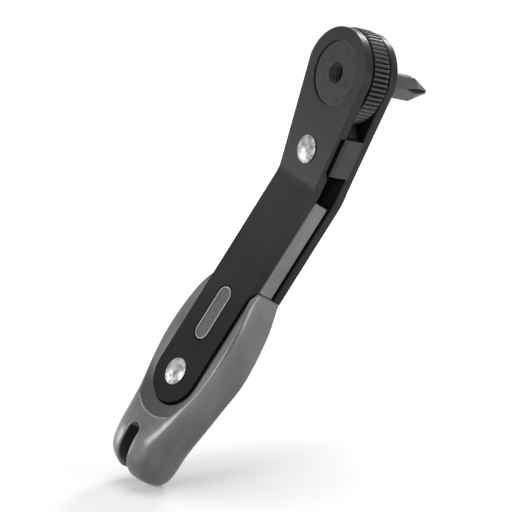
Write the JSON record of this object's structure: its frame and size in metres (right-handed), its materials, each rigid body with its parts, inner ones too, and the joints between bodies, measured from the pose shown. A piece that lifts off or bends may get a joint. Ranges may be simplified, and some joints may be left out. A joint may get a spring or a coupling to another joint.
{
  "type": "ratcheting screwdriver",
  "caption": "Flat offset ratcheting screwdriver: toothed thumbwheel with a hexagon socket and cross-head bit between two bent steel plates, reversing lever and shaped grip.",
  "frame": {"origin": "on the ratchet wheel's axis, half way between the two plates", "axes": "+X from the grip to the head's round end, +Z along the wheel's axis out of the push-out hole, away from the bit; the grip rises towards +Z behind the bend"},
  "size_m": [0.133, 0.0272, 0.056],
  "materials": {
    "black_steel": "semi-gloss black coating on pressed steel",
    "wheel_steel": "satin black oxide",
    "reverser_steel": "satin black",
    "bit_steel": "dark grey phosphated tool steel",
    "bare_steel": "plain bright steel",
    "bright_rivet": "bright nickel plating, hammered dome",
    "grip_grey": "gunmetal metallic coat on a zinc casting",
    "badge_grey": "gunmetal metallic coat, bare field"
  },
  "bodies": {
    "grip_frame": {"front_plate": "black_steel", "rear_plate": "black_steel", "front_thrust_washer": "bare_steel", "rear_thrust_washer": "bare_steel", "pivot_bush": "bare_steel", "pivot_rivet": "bright_rivet", "detent_spring": "bare_steel", "handle_grip": "grip_grey", "handle_bush": "bare_steel", "handle_rivet": "bright_rivet", "badge": "badge_grey"},
    "wheel": {"ratchet_wheel": "wheel_steel", "bit_retaining_ring": "bare_steel"},
    "bit": {"screwdriver_bit": "bit_steel"},
    "reverser": {"reverser": "reverser_steel"}
  },
  "joints": [
    {"name": "wheel_spin", "type": "hinge", "parent": "grip_frame", "child": "wheel", "pos_m": [0, 0, 0], "axis": [0, 0, 1], "continuous": true},
    {"name": "bit_pull", "type": "slide", "parent": "wheel", "child": "bit", "axis": [0, 0, -1], "range_m": [0, 0.008]},
    {"name": "reverser_tilt", "type": "hinge", "parent": "grip_frame", "child": "reverser", "pos_m": [-0.0216, 0, 0], "axis": [0, 0, -1], "range_deg": [0, 13], "deforming": ["detent_spring"]}
  ]
}
